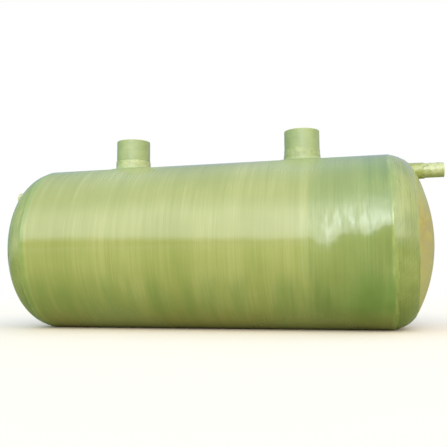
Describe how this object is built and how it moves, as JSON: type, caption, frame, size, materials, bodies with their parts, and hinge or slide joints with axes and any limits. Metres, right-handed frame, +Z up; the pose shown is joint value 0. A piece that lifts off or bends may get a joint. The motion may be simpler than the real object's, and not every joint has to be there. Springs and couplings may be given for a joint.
{
  "type": "septic tank",
  "caption": "Horizontal fibreglass septic tank: wound barrel with dished ends, access necks on top and an inlet and outlet pipe.",
  "frame": {"origin": "on the ground under the middle of the tank", "axes": "+X along the tank towards the inlet, +Z up"},
  "size_m": [6.7, 2.5, 2.93],
  "materials": {
    "wound_shell": "glossy hoop-wound glass and green polyester resin",
    "pale_resin": "semi-gloss hand-laid glass mat, pale with resin",
    "bare_laminate": "satin hand-laid glass mat, tan",
    "inside_laminate": "satin resin-rich glass mat",
    "neck_laminate": "glossy wound glass and green polyester resin",
    "pipe_laminate": "semi-gloss pale green glass laminate"
  },
  "bodies": {
    "root": {"barrel_main": "wound_shell", "barrel_short": "wound_shell", "seam_joint": "pale_resin", "seam_inner_band": "inside_laminate", "left_head": "bare_laminate", "right_head": "bare_laminate", "left_end_band": "wound_shell", "right_end_band": "wound_shell", "left_skirt_fillet": "inside_laminate", "right_skirt_fillet": "inside_laminate", "left_neck": "neck_laminate", "right_neck": "neck_laminate", "left_neck_collar": "pale_resin", "right_neck_collar": "pale_resin", "inlet_pipe": "pipe_laminate", "outlet_pipe": "pipe_laminate", "inlet_collar": "pale_resin", "outlet_collar": "pale_resin", "inlet_tee": "inside_laminate", "outlet_tee": "inside_laminate", "first_baffle": "inside_laminate", "second_baffle": "inside_laminate", "first_baffle_fillets": "inside_laminate", "second_baffle_fillets": "inside_laminate"}
  },
  "joints": []
}
